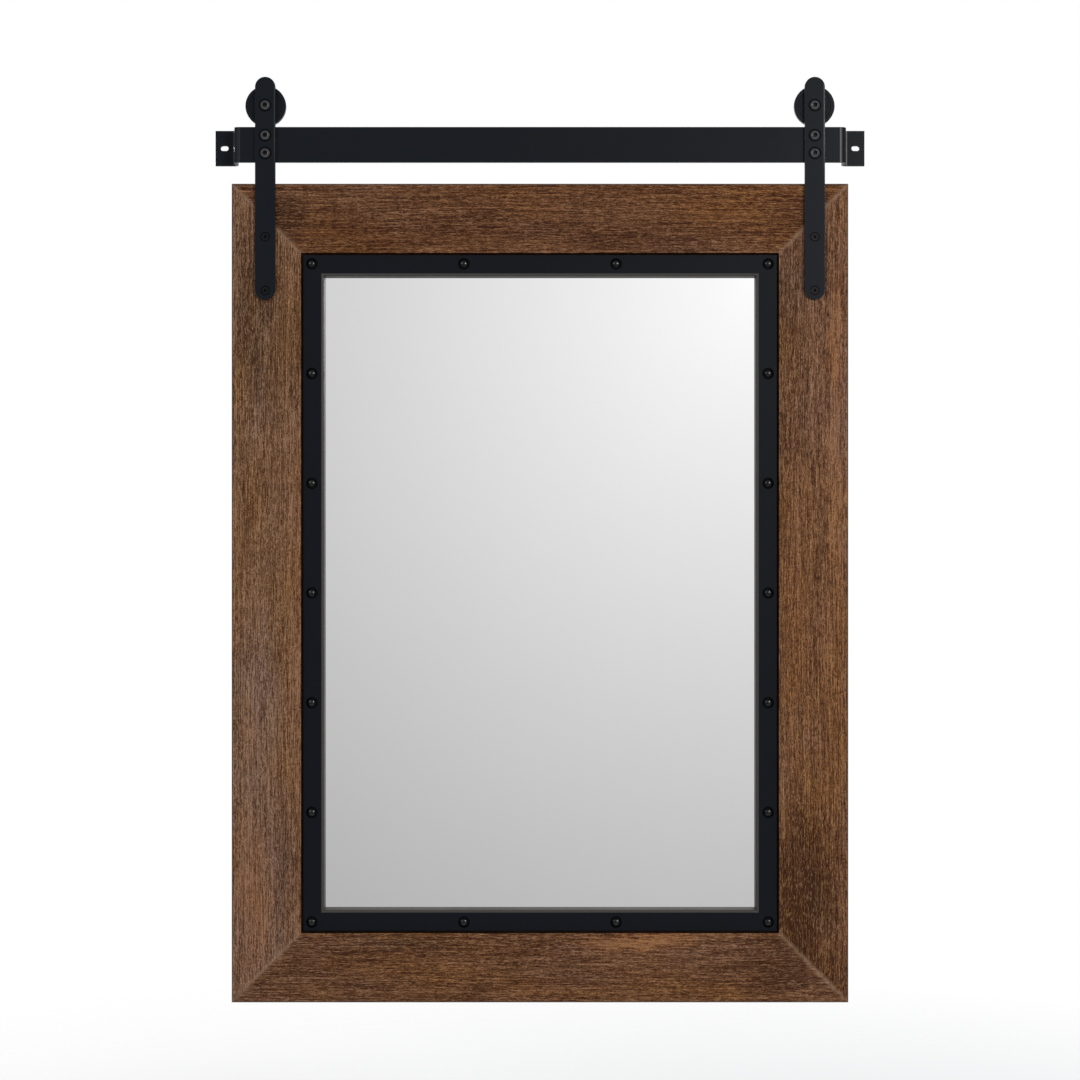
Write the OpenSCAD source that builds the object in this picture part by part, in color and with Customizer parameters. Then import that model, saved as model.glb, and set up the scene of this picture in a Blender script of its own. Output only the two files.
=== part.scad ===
// Barn door mirror: a mitred wooden frame with a black steel liner round the glass,
// hung on the wall from a bent steel track bar by two straps with rollers.
// Millimetres. X runs to the viewer's right, Z up, and the viewer stands at -Y.
// The origin is on the wall, midway between the two screw slots of the track bar.

/* [Wooden frame] */
// Width of the frame over its stiles
frame_w = 610; // [570:1:760]
// Height of the frame over its rails
frame_h = 810; // [750:1:1000]
// Thickness of the wood
wood_t = 20; // [18:0.5:26]
// Width of each member as seen from behind
member_w = 80; // [76:1:100]
// How far the lip between the two rebates stands in past the rear rebate
lip_w = 8.5; // [6:0.5:12]
// Width of the ledge in the front rebate, on which the liner lies
ledge_w = 20; // [17:0.5:24]
// Small chamfer along the outer edges of the wood
edge_ease = 1; // [0.2:0.1:2]
// Gap between the back of the wood and the wall
wall_gap = 3; // [2:0.5:10]

/* [Mitre biscuits] */
// Length of a biscuit along the mitre
biscuit_l = 47; // [30:1:52]
// Width of a biscuit across the mitre
biscuit_w = 15; // [10:1:19]
// Thickness of a biscuit
biscuit_t = 4; // [3:0.5:5]
// Middle of a biscuit, measured along the mitre from the frame's outer corner
biscuit_in = 60; // [50:1:66]
// Clearance round a biscuit in its slots
biscuit_fit = 0.15; // [0.1:0.05:0.3]

/* [Glass and backing board] */
// Thickness of the mirror glass
glass_t = 4; // [3:0.5:5]
// Thickness of the backing board
board_t = 3; // [2.5:0.5:4]
// Gap round the glass and the board in the rear rebate
pane_gap = 2; // [1:0.5:3]

/* [Steel liner] */
// Thickness of the liner's steel
liner_t = 2; // [1.5:0.1:2.5]
// Depth of the liner's face below the front of the wood
liner_recess = 3; // [1:0.5:3.5]
// Gap between the liner's outer edge and the wood
liner_gap = 2; // [0.3:0.1:3]
// Gap between the liner's return and the edge of the wood's lip
return_gap = 0.5; // [0.2:0.1:1]
// Gap between the end of the liner's return and the glass
return_seat = 0.2; // [0.1:0.1:0.5]
// Inside radius of the liner's bend
liner_bend_r = 0.5; // [0.3:0.1:0.8]

/* [Liner nails] */
// Diameter of a domed nail head
nail_head_d = 9.5; // [7:0.5:12]
// Height of a domed nail head
nail_head_h = 2.4; // [1.5:0.1:2.8]
// Diameter of a nail's shank
nail_d = 2.2; // [1.6:0.1:3]
// Length of a nail's shank below its head
nail_l = 7; // [5:0.5:7.5]
// Nail centres in from the liner's outer edge
nail_in = 8.5; // [8:0.5:11]
// Nails along the top and the bottom, corner nails included
nails_across = 4; // [3:1:6]
// Nails down each side, corner nails included
nails_down = 7; // [4:1:9]
// Radial clearance of nails and wood screws in their holes
nail_fit = 0.05; // [0.02:0.01:0.1]

/* [Corner plates] */
// Length of a corner plate over its round ends
plate_l = 48; // [42:1:54]
// Width of a corner plate
plate_w = 12; // [10:0.5:14]
// Thickness of a corner plate
plate_t = 1.2; // [0.8:0.1:1.3]
// Middle of a corner plate, in from the board's corner along the diagonal
plate_in = 2; // [0:0.5:4]

/* [Turn buttons] */
// Width of a turn button, with a full round at its screw
button_w = 13; // [11:0.5:14]
// Length of a turn button
button_l = 24; // [20:0.5:28]
// Thickness of a turn button
button_t = 1; // [0.8:0.1:1.2]
// Centre of a turn button's screw, out from the edge of the board
button_out = 8; // [7.5:0.25:11]
// Radial clearance of a turn button on its screw
button_fit = 0.05; // [0.03:0.01:0.1]
// Free play of a turn button below and above
button_play = 0.15; // [0.1:0.05:0.2]

/* [Rear screws] */
// Diameter of the shank of the small screws on the back
pan_d = 3.5; // [3:0.1:4]
// Length of their shanks
pan_l = 12; // [8:0.5:12.5]
// Diameter of their low domed heads
pan_head_d = 6.5; // [6:0.1:8]
// Height of their heads
pan_head_h = 1.5; // [1.2:0.1:1.6]
// Length of the cross recess in a head
cross_l = 3.6; // [2.5:0.1:4.5]
// Width of the cross recess
cross_w = 0.9; // [0.6:0.1:1.2]
// Depth of the cross recess
cross_deep = 0.8; // [0.4:0.1:1]

/* [Track bar] */
// Height of the track bar
bar_h = 35; // [30:1:45]
// Thickness of the track bar
bar_t = 3; // [2.5:0.5:4]
// Gap between the top of the wood and the track bar
bar_gap = 21; // [12:1:40]
// Inside radius of the bar's four bends
bar_bend_r = 3; // [2:0.5:5]
// Outer face of the bar's bent leg, in from the frame's edge
leg_in = 1.5; // [0:0.5:6]
// Wall slot's centre, out past the frame's edge
slot_out = 10; // [9:0.5:20]
// Length of a wall slot
slot_l = 8; // [6.5:0.5:10]
// Width of a wall slot
slot_w = 5; // [4:0.5:6]
// Wall slot's centre to the end of the bar
tab_end = 9; // [7:0.5:14]

/* [Hanger straps] */
// Width of a strap, with a full round at both ends
strap_w = 20; // [16:1:28]
// Thickness of a strap
strap_t = 3; // [2.5:0.5:4]
// Middle of a strap, in from the frame's edge
strap_in = 33.5; // [24:0.5:50]
// End of a strap above its roller's axle
strap_over = 28; // [14:1:36]
// End of a strap below the top of the wood
strap_down = 115; // [90:1:160]
// Upper wood screw, below the top of the wood
screw_down = 53; // [40:1:60]
// Lower wood screw, above the strap's lower end
screw_up = 9; // [8:0.5:14]
// Diameter of a wood screw's shank
flat_d = 4; // [3.5:0.5:5]
// Length of a wood screw
flat_l = 20; // [14:1:20]
// Diameter of a wood screw's countersunk head
flat_head_d = 7.6; // [7:0.1:9]

/* [Bolts and rollers] */
// Diameter of the bolts
bolt_d = 6; // [5:1:8]
// Diameter of a bolt's button head
head_d = 10.5; // [9.5:0.5:13]
// Height of a bolt's button head
head_h = 3.3; // [2.5:0.1:4]
// Width across the flats of the hexagon socket
socket_af = 4; // [3:0.5:5]
// Depth of the hexagon socket
socket_deep = 2; // [1:0.1:2.2]
// Radial clearance of a bolt in the bar, the strap and a washer
bolt_fit = 0.2; // [0.1:0.05:0.4]
// Radial clearance of a bolt in its nut and its bush
thread_fit = 0.05; // [0.02:0.01:0.1]
// Distance between the two bolts that hold a strap on the bar
bolt_pitch = 17.5; // [14:0.5:20]
// Bolt end past its nut
bolt_over = 1; // [0.5:0.5:2]
// Width of a nut across its flats
nut_af = 10; // [9:1:13]
// Height of a nut
nut_h = 5; // [4:0.5:6]
// Diameter of a roller
roller_d = 40; // [32:1:50]
// Thickness of a roller
roller_t = 6; // [4:0.5:7]
// Gap between a roller and the top of the bar
roller_gap = 1; // [0.5:0.5:3]
// Radius of a roller's raised hub
hub_r = 8.5; // [8:0.5:10]
// Width of a roller's raised rim
rim_w = 4; // [2.5:0.5:5]
// Depth of the turned face between hub and rim
face_deep = 0.6; // [0.3:0.1:1]
// Chamfer on a roller's tread
tread_ease = 0.6; // [0.3:0.1:1]
// Outside diameter of the bush that a roller turns on
bush_d = 10; // [9.5:0.5:12]
// Radial running clearance of a roller on its bush
roller_fit = 0.05; // [0.03:0.01:0.1]
// Free play of a roller on each side
roller_play = 0.2; // [0.1:0.05:0.4]
// Diameter of the washer behind a roller
washer_d = 14; // [13:0.5:18]
// Thickness of the washer
washer_t = 1; // [0.8:0.1:1.6]

/* [Hidden] */
$fn = 64;
// Overshoot of a cut past the face that it opens
past = 1;

// The four sides of the frame, as turns about Y from the right-hand side
RIGHT = 0;
TOP = -90;
LEFT = 180;
BOTTOM = 90;

// Turn buttons: place along the side from the frame's middle, then the angle from straight in,
// both as they were fitted by hand
TOP_BUTTONS = [[-149, 0], [-62, 0], [35, 0], [132, 0]];
BOTTOM_BUTTONS = [[-148, 3], [-60, 3], [34, 7], [134, 0]];
LEFT_BUTTONS = [[228, 34], [112, 90], [-14, 90], [-125, 90], [-244, 90]];
RIGHT_BUTTONS = [[232, 0], [116, -3], [-6, -65], [-128, 0], [-243, 0]];

// Corner plates: name, side of the frame's middle in X and in Z, and slope as fitted by hand
PLATES = [
    ["corner_plate_top_left", -1, 1, -46],
    ["corner_plate_top_right", 1, 1, 44],
    ["corner_plate_bottom_left", -1, -1, 48],
    ["corner_plate_bottom_right", 1, -1, -40]
];

// Heights: the bar's middle is at zero
wood_top = -bar_h / 2 - bar_gap;
frame_mid = wood_top - frame_h / 2;
roller_z = bar_h / 2 + roller_gap + roller_d / 2;

// Depths from the wall
wood_back = -wall_gap;
wood_front = wood_back - wood_t;
strap_front = wood_front - strap_t;
bar_back = wood_front + bar_t;

// Widths in from the frame's outer edge, and depths back from the front of the wood
front_w = member_w + lip_w - ledge_w;
full_w = member_w + lip_w;
ledge_deep = liner_recess + liner_t;
lip_back = wood_t - board_t - glass_t;
liner_out = front_w + liner_gap;
liner_in = full_w + return_gap + liner_t;
liner_round = liner_bend_r + liner_t;

// Half sizes of the glass and the board, and of the rectangle on which the corner nails sit
pane = [frame_w / 2 - member_w - pane_gap, frame_h / 2 - member_w - pane_gap];
nail_at = [frame_w / 2 - liner_out - nail_in, frame_h / 2 - liner_out - nail_in];

// Distances across, from the middle
strap_x = frame_w / 2 - strap_in;
leg_x = frame_w / 2 - leg_in;
slot_x = frame_w / 2 + slot_out;
bar_round = bar_bend_r + bar_t;

bush_l = roller_t + 2 * roller_play;
screw_low = strap_down - screw_up;

BUTTONS = concat(
    side_buttons("top", TOP, TOP_BUTTONS),
    side_buttons("bottom", BOTTOM, BOTTOM_BUTTONS),
    side_buttons("left", LEFT, LEFT_BUTTONS),
    side_buttons("right", RIGHT, RIGHT_BUTTONS)
);

// Rows of name, side, place along the side and angle
function side_buttons(side, turn, places) =
    [for (i = [0 : len(places) - 1]) [str("turn_button_", side, "_", i + 1), turn, places[i][0], places[i][1]]];

// Half the frame's size across a side, and along it
function half_out(turn) = abs(turn) == 90 ? frame_h / 2 : frame_w / 2;
function half_along(turn) = abs(turn) == 90 ? frame_w / 2 : frame_h / 2;

// X and Z, from the frame's middle, of a turn button's screw
function button_at(b) =
    let (out = half_out(b[1]) - member_w - pane_gap + button_out)
    [cos(b[1]) * out + abs(sin(b[1])) * b[2], abs(cos(b[1])) * b[2] - sin(b[1]) * out];

// X and Z, from the frame's middle, of a corner plate's middle and of its screws
function plate_at(p) = [for (i = [0, 1]) p[i + 1] * (pane[i] - plate_in / sqrt(2))];
function plate_screw_at(p, end) =
    plate_at(p) + end * (plate_l - plate_w) / 2 * [cos(p[3]), -sin(p[3])];

// n places spread evenly from -half to half
function spread(half, n) = [for (i = [0 : n - 1]) half * (2 * i / (n - 1) - 1)];

// X and Z of every liner nail: the two rows first, then the sides between them
NAILS = concat(
    [for (z = [-1, 1], x = spread(nail_at[0], nails_across)) [x, z * nail_at[1]]],
    [for (x = [-1, 1], i = [1 : nails_down - 2]) [x * nail_at[0], spread(nail_at[1], nails_down)[i]]]
);

// Radius of the sphere whose cap has the given diameter and height
function cap_r(d, h) = (d * d / 4 + h * h) / (2 * h);

// Places on the frame, with zero depth at the front of the wood and depth growing backwards
module on_frame() {
    translate([0, wood_front, frame_mid]) children();
}

// A fastener is drawn with its head up; these lay it with the head to the viewer or to the wall
module head_front(at, y) {
    translate([at[0], y, at[1]]) rotate([90, 0, 0]) children();
}

module head_back(at, y) {
    translate([at[0], y, at[1]]) rotate([-90, 0, 0]) children();
}

// A flat sheet in the XZ plane, from depth y back by t
module sheet(y, t) {
    translate([0, y + t, 0]) rotate([90, 0, 0]) linear_extrude(t) children();
}

// A quarter of a bent sheet in the +X +Y quadrant
module bend(r, t) {
    intersection() {
        difference() {
            circle(r);
            circle(r - t);
        }
        square(r);
    }
}

// A flat bar with full round ends, from x0 to x1, before its holes
module round_bar(x0, x1, w) {
    translate([x0 + w / 2, -w / 2]) square([x1 - x0 - w, w]);
    for (x = [x0 + w / 2, x1 - w / 2]) translate([x, 0]) circle(w / 2);
}

// A domed head that stands on the plane z = 0
module cap(d, h) {
    r = cap_r(d, h);
    intersection() {
        translate([0, 0, h - r]) sphere(r);
        cylinder(h = h, d = d + past);
    }
}

// A plain shank that hangs below the plane z = 0
module shank(d, l) {
    translate([0, 0, -l]) cylinder(h = l, d = d);
}

// A blind hole of depth l below the plane z = 0
module blind(d, l) {
    translate([0, 0, -l]) cylinder(h = l + past, d = d);
}

// A hole through a sheet of thickness t whose near face is the plane z = 0
module through(d, t) {
    translate([0, 0, -t - past]) cylinder(h = t + 2 * past, d = d);
}

// The space between the two mitre planes at the ends of one side
module mitre_zone(turn) {
    out = half_out(turn);
    along = half_along(turn);
    deep = full_w + liner_t + 2 * past;
    sheet(-past, wood_t + 2 * past)
        polygon([
            [out + past, -along - past],
            [out + past, along + past],
            [out - deep, along - deep],
            [out - deep, deep - along]
        ]);
}

// A strip along one side of the frame with mitred ends; its profile is the child,
// with x running in from the frame's outer edge and y back from the front of the wood
module mitred(turn) {
    rotate([0, turn, 0])
        intersection() {
            translate([half_out(turn), 0, -half_along(turn)])
                linear_extrude(2 * half_along(turn)) mirror([1, 0]) children();
            mitre_zone(turn);
        }
}

// Section of a wooden member, with the front rebate for the liner and the rear one for the glass
module member_profile() {
    polygon([
        [edge_ease, 0],
        [front_w, 0],
        [front_w, ledge_deep],
        [full_w, ledge_deep],
        [full_w, lip_back],
        [member_w, lip_back],
        [member_w, wood_t],
        [edge_ease, wood_t],
        [0, wood_t - edge_ease],
        [0, edge_ease]
    ]);
}

// Section of the liner: a flat face on the ledge, one bend, and a return back to the glass
module liner_profile() {
    flat_end = liner_in - liner_round;
    bend_end = liner_recess + liner_round;
    translate([liner_out, liner_recess]) square([flat_end - liner_out, liner_t]);
    translate([flat_end, bend_end]) rotate(-90) bend(liner_round, liner_t);
    translate([liner_in - liner_t, bend_end]) square([liner_t, lip_back - return_seat - bend_end]);
}

// A biscuit's outline is the lens between two arcs
module lens(l, w, t) {
    r = cap_r(l, w / 2);
    intersection_for (s = [-1, 1])
        translate([0, s * (r - w / 2), -t / 2]) cylinder(h = t, r = r);
}

// One lens across each mitre, grown by the given clearance
module biscuits(grow) {
    corner = biscuit_in / sqrt(2);
    for (sx = [-1, 1], sz = [-1, 1])
        translate([sx * (frame_w / 2 - corner), wood_t / 2, sz * (frame_h / 2 - corner)])
            rotate([90, -45 * sx * sz, 0])
                lens(biscuit_l + 4 * grow, biscuit_w + 2 * grow, biscuit_t + 2 * grow);
}

// Every hole that is bored in the wood from the front and from the back
module wood_holes() {
    for (n = NAILS) head_front(n, ledge_deep) blind(nail_d + 2 * nail_fit, nail_l - liner_t + nail_fit);
    for (sx = [-1, 1], down = [screw_down, screw_low])
        head_front([sx * strap_x, frame_h / 2 - down], 0)
            blind(flat_d + 2 * nail_fit, flat_l - strap_t + nail_fit);
    for (b = BUTTONS)
        head_back(button_at(b), wood_t)
            blind(pan_d + 2 * nail_fit, pan_l - button_t - 2 * button_play + nail_fit);
    for (p = PLATES, end = [-1, 1])
        head_back(plate_screw_at(p, end), wood_t)
            blind(pan_d + 2 * nail_fit, pan_l - plate_t + nail_fit);
}

module member(turn) {
    color([0.36, 0.26, 0.20])
        on_frame()
            difference() {
                mitred(turn) member_profile();
                biscuits(biscuit_fit);
                wood_holes();
            }
}

module mitre_biscuits() {
    color([0.76, 0.62, 0.44])
        on_frame() biscuits(0);
}

module liner(turn) {
    color([0.10, 0.11, 0.13])
        on_frame()
            difference() {
                mitred(turn) liner_profile();
                for (n = NAILS) head_front(n, liner_recess) through(nail_d + 2 * nail_fit, liner_t);
            }
}

module liner_nails() {
    color([0.08, 0.08, 0.10])
        on_frame()
            for (n = NAILS)
                head_front(n, liner_recess) {
                    cap(nail_head_d, nail_head_h);
                    shank(nail_d, nail_l);
                }
}

// A rectangle that fills the rear rebate but for the gap round it
module pane_sheet(y, t) {
    on_frame()
        translate([-pane[0], y, -pane[1]]) cube([2 * pane[0], t, 2 * pane[1]]);
}

module mirror_glass() {
    color([0.80, 0.82, 0.84]) pane_sheet(lip_back, glass_t);
}

module backing_board() {
    color([0.68, 0.55, 0.42]) pane_sheet(lip_back + glass_t, board_t);
}

module corner_plate(p) {
    hole_x = (plate_l - plate_w) / 2;
    color([0.56, 0.60, 0.64])
        on_frame()
            translate([plate_at(p)[0], 0, plate_at(p)[1]])
                rotate([0, p[3], 0])
                    sheet(wood_t, plate_t)
                        difference() {
                            round_bar(-plate_l / 2, plate_l / 2, plate_w);
                            for (s = [-1, 1]) translate([s * hole_x, 0]) circle(d = pan_d + 2 * nail_fit);
                        }
}

// A turn button points to -X before it is turned to its side and by its own angle
module turn_button(b) {
    at = button_at(b);
    color([0.56, 0.60, 0.64])
        on_frame()
            translate([at[0], 0, at[1]])
                rotate([0, b[1] + b[3], 0])
                    sheet(wood_t + button_play, button_t)
                        difference() {
                            union() {
                                circle(d = button_w);
                                translate([button_w / 2 - button_l, -button_w / 2])
                                    square([button_l - button_w / 2, button_w]);
                            }
                            circle(d = pan_d + 2 * button_fit);
                        }
}

// A low domed screw with a cross recess, drawn from the underside of its head
module pan_screw(turn) {
    difference() {
        union() {
            cap(pan_head_d, pan_head_h);
            shank(pan_d, pan_l);
        }
        for (a = [turn, turn + 90])
            rotate(a)
                translate([-cross_l / 2, -cross_w / 2, pan_head_h - cross_deep])
                    cube([cross_l, cross_w, cross_deep + past]);
    }
}

module corner_plate_screws() {
    color([0.62, 0.64, 0.66])
        on_frame()
            for (p = PLATES, end = [-1, 1])
                head_back(plate_screw_at(p, end), wood_t + plate_t) pan_screw(p[3] + 20 * end);
}

module turn_button_screws() {
    color([0.62, 0.64, 0.66])
        on_frame()
            for (b = BUTTONS)
                head_back(button_at(b), wood_t + button_t + 2 * button_play) pan_screw(b[2] % 90);
}

// The bar in plan: front flat, and at each end a bend, a leg back to the wall, a bend and a tab
module bar_plan() {
    flat_x = leg_x - bar_round;
    tab_x = leg_x + bar_bend_r;
    translate([-flat_x, wood_front]) square([2 * flat_x, bar_t]);
    for (s = [0, 1])
        mirror([s, 0]) {
            translate([flat_x, wood_front + bar_round]) rotate(-90) bend(bar_round, bar_t);
            translate([leg_x - bar_t, wood_front + bar_round])
                square([bar_t, -wood_front - 2 * bar_round]);
            translate([tab_x, -bar_round]) rotate(90) bend(bar_round, bar_t);
            translate([tab_x, -bar_t]) square([slot_x + tab_end - tab_x, bar_t]);
        }
}

module track_bar() {
    end_x = (slot_l - slot_w) / 2;
    color([0.10, 0.11, 0.13])
        difference() {
            translate([0, 0, -bar_h / 2]) linear_extrude(bar_h) bar_plan();
            for (s = [-1, 1], x = [-end_x, end_x])
                head_back([s * slot_x + x, 0], 0) through(slot_w, bar_t);
            for (s = [-1, 1])
                translate([s * slot_x - end_x, -bar_t - past, -slot_w / 2])
                    cube([2 * end_x, bar_t + 2 * past, slot_w]);
            for (s = [-1, 1], z = [-bolt_pitch / 2, bolt_pitch / 2])
                head_back([s * strap_x, z], bar_back) through(bolt_d + 2 * bolt_fit, bar_t);
        }
}

// A countersunk screw, drawn from the flat top of its head
module flat_screw(grow) {
    top_d = flat_head_d + 2 * grow;
    shank_d = flat_d + 2 * grow;
    shank(shank_d, flat_l);
    translate([0, 0, (shank_d - top_d) / 2])
        cylinder(h = (top_d - shank_d) / 2, d1 = shank_d, d2 = top_d);
}

module hanger_strap(s) {
    top = roller_z + strap_over;
    low = wood_top - strap_down;
    color([0.10, 0.11, 0.13])
        difference() {
            translate([s * strap_x, 0, 0])
                sheet(strap_front, strap_t) rotate(90) round_bar(low, top, strap_w);
            for (z = [roller_z, bolt_pitch / 2, -bolt_pitch / 2])
                head_front([s * strap_x, z], strap_front) through(bolt_d + 2 * bolt_fit, strap_t);
            for (down = [screw_down, screw_low])
                head_front([s * strap_x, wood_top - down], strap_front) {
                    flat_screw(nail_fit);
                    through(flat_d + 2 * nail_fit, strap_t);
                }
        }
}

// A button-head bolt with a hexagon socket, drawn from the underside of its head
module button_bolt(l) {
    difference() {
        union() {
            cap(head_d, head_h);
            shank(bolt_d, l);
        }
        translate([0, 0, head_h - socket_deep])
            cylinder(h = socket_deep + past, d = socket_af / cos(30), $fn = 6);
    }
}

// A nut with its outer corners turned off, drawn from the face it is tightened against
module hex_nut() {
    difference() {
        intersection() {
            cylinder(h = nut_h, d = nut_af / cos(30), $fn = 6);
            cylinder(h = nut_h, r1 = nut_af / 2 + nut_h * tan(60), r2 = nut_af / 2);
        }
        translate([0, 0, nut_h]) through(bolt_d + 2 * thread_fit, nut_h);
    }
}

module strap_bolts() {
    color([0.08, 0.08, 0.10])
        for (s = [-1, 1], z = [-bolt_pitch / 2, bolt_pitch / 2])
            head_front([s * strap_x, z], strap_front) button_bolt(strap_t + bar_t + nut_h + bolt_over);
}

module strap_nuts() {
    color([0.08, 0.08, 0.10])
        for (s = [-1, 1], z = [-bolt_pitch / 2, bolt_pitch / 2])
            head_back([s * strap_x, z], bar_back) hex_nut();
}

module strap_screws() {
    color([0.08, 0.08, 0.10])
        for (s = [-1, 1], down = [screw_down, screw_low])
            head_front([s * strap_x, wood_top - down], strap_front)
                difference() {
                    flat_screw(0);
                    translate([0, 0, -cross_deep])
                        cylinder(h = cross_deep + past, d = cross_l, $fn = 6);
                }
}

// The roller turns on its bush, which stands on the back of the strap
module roller(s) {
    r = roller_d / 2;
    rim_r = r - rim_w;
    bore_r = bush_d / 2 + roller_fit;
    color([0.10, 0.11, 0.13])
        head_back([s * strap_x, roller_z], wood_front + roller_play)
            rotate_extrude()
                polygon([
                    [bore_r, 0],
                    [hub_r, 0],
                    [hub_r, face_deep],
                    [rim_r, face_deep],
                    [rim_r, 0],
                    [r - tread_ease, 0],
                    [r, tread_ease],
                    [r, roller_t - tread_ease],
                    [r - tread_ease, roller_t],
                    [rim_r, roller_t],
                    [rim_r, roller_t - face_deep],
                    [hub_r, roller_t - face_deep],
                    [hub_r, roller_t],
                    [bore_r, roller_t]
                ]);
}

// A plain ring of outside diameter d and bore diameter b, one on each axle
module axle_rings(y, d, b, t) {
    for (s = [-1, 1])
        head_back([s * strap_x, roller_z], y)
            difference() {
                cylinder(h = t, d = d);
                translate([0, 0, t]) through(b, t);
            }
}

module roller_bushes() {
    color([0.45, 0.38, 0.24])
        axle_rings(wood_front, bush_d, bolt_d + 2 * thread_fit, bush_l);
}

module axle_washers() {
    color([0.08, 0.08, 0.10])
        axle_rings(wood_front + bush_l, washer_d, bolt_d + 2 * bolt_fit, washer_t);
}

module axle_bolts() {
    color([0.08, 0.08, 0.10])
        for (s = [-1, 1])
            head_front([s * strap_x, roller_z], strap_front)
                button_bolt(strap_t + bush_l + washer_t + nut_h + bolt_over);
}

module axle_nuts() {
    color([0.08, 0.08, 0.10])
        for (s = [-1, 1])
            head_back([s * strap_x, roller_z], wood_front + bush_l + washer_t) hex_nut();
}

member(LEFT);  // stile_left
member(RIGHT);  // stile_right
member(TOP);  // rail_top
member(BOTTOM);  // rail_bottom
mitre_biscuits();
liner(LEFT);  // liner_left
liner(RIGHT);  // liner_right
liner(TOP);  // liner_top
liner(BOTTOM);  // liner_bottom
liner_nails();
mirror_glass();
backing_board();
for (p = PLATES) corner_plate(p);
corner_plate_screws();
for (b = BUTTONS) turn_button(b);
turn_button_screws();
track_bar();
hanger_strap(-1);  // hanger_strap_left
hanger_strap(1);  // hanger_strap_right
strap_bolts();
strap_nuts();
strap_screws();
roller(-1);  // roller_left
roller(1);  // roller_right
roller_bushes();
axle_bolts();
axle_washers();
axle_nuts();
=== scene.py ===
from math import asin, cos, radians, sin, sqrt, tan, tau

import bmesh
import bpy
from bmesh.types import BMEdge, BMFace, BMVert
from mathutils import Matrix, Vector


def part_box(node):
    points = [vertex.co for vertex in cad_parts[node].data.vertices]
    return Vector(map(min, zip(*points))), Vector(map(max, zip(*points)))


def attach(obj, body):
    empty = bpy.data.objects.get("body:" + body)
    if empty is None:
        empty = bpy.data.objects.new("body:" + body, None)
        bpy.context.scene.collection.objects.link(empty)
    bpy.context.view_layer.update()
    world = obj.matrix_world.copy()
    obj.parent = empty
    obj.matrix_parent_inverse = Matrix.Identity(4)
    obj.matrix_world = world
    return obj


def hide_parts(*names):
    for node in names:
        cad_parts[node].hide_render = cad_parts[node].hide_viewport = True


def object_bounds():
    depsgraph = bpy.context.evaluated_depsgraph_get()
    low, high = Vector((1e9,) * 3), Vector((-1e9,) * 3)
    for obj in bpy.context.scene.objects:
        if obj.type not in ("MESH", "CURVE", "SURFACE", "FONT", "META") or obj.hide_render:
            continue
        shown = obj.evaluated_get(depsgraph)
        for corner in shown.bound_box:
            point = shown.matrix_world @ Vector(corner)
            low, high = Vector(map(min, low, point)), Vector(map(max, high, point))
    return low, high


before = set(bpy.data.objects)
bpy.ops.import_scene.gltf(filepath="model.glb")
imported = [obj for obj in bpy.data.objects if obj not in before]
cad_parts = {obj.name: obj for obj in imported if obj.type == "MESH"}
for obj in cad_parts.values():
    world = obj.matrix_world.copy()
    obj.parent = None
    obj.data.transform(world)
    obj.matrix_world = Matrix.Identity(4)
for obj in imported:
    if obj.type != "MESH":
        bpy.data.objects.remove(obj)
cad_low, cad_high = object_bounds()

# The camera stands square to the mirror, two metres off and level with the middle of the
# whole thing, so that the bar's bent ends and the inner faces of the liner show their depth.
eye_height = (cad_low.z + cad_high.z) / 2
scene = bpy.context.scene
camera_data = bpy.data.cameras.new("camera")
camera_data.lens = 70.0
camera_data.clip_start = 0.05
camera = bpy.data.objects.new("camera", camera_data)
camera.location = (0.0, -2.10, eye_height)
camera.rotation_euler = (radians(90), 0.0, 0.0)
scene.collection.objects.link(camera)
scene.camera = camera
scene.view_settings.view_transform = "Standard"

# The studio: a pale floor below the hanging mirror, which fades out into the white around it,
# a warm lamp on the upper right, a larger cool one on the left, and such a pair for the back.
FLOOR_Z = -1.25
FLOOR_RADIUS = 2.2
FLOOR_FADE = (1.3, 2.5)


def feed(tree, node, feeds):
    """Gives inputs of a node their values, or links them to outputs of other nodes."""
    for name, value in feeds.items():
        if isinstance(value, bpy.types.NodeSocket):
            tree.links.new(value, node.inputs[name])
        else:
            node.inputs[name].default_value = value


def put(tree, kind, feeds=None, **settings):
    """Adds a shader node with its settings and feeds."""
    made = tree.nodes.new(kind)
    for name, value in settings.items():
        setattr(made, name, value)
    feed(tree, made, feeds or {})
    return made


def maths(tree, operation, *values, clamp=False):
    """One Math node; returns its output."""
    feeds = dict(enumerate(values))
    return put(tree, "ShaderNodeMath", feeds, operation=operation, use_clamp=clamp).outputs[0]


def minus(tree, first, second):
    """The first number less the second."""
    return maths(tree, "SUBTRACT", first, second)


def times(tree, first, second):
    """The product of two numbers."""
    return maths(tree, "MULTIPLY", first, second)


def apart(tree, first, second):
    """How far two numbers lie apart."""
    return maths(tree, "ABSOLUTE", minus(tree, first, second))


def vectors(tree, operation, *values):
    """One Vector Math node; returns its vector, or its number for a distance or a length."""
    made = put(tree, "ShaderNodeVectorMath", dict(enumerate(values)), operation=operation)
    return made.outputs["Value" if operation in ("DISTANCE", "LENGTH") else "Vector"]


def blend(tree, share, first, second, way="MIX"):
    """One Mix node on colours; returns its colour."""
    feeds = {0: share, 6: first, 7: second}
    return put(tree, "ShaderNodeMix", feeds, data_type="RGBA", blend_type=way).outputs[2]


def remap(tree, value, low, high, to_low=0.0, to_high=1.0, smooth=False):
    """One clamped Map Range node; returns its number."""
    feeds = {"Value": value, "From Min": low, "From Max": high, "To Min": to_low, "To Max": to_high}
    kind = "SMOOTHSTEP" if smooth else "LINEAR"
    return put(tree, "ShaderNodeMapRange", feeds, interpolation_type=kind).outputs["Result"]


def surface_place(tree):
    """Where a point of the surface is, in Object coordinates."""
    return put(tree, "ShaderNodeTexCoord").outputs["Object"]


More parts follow.
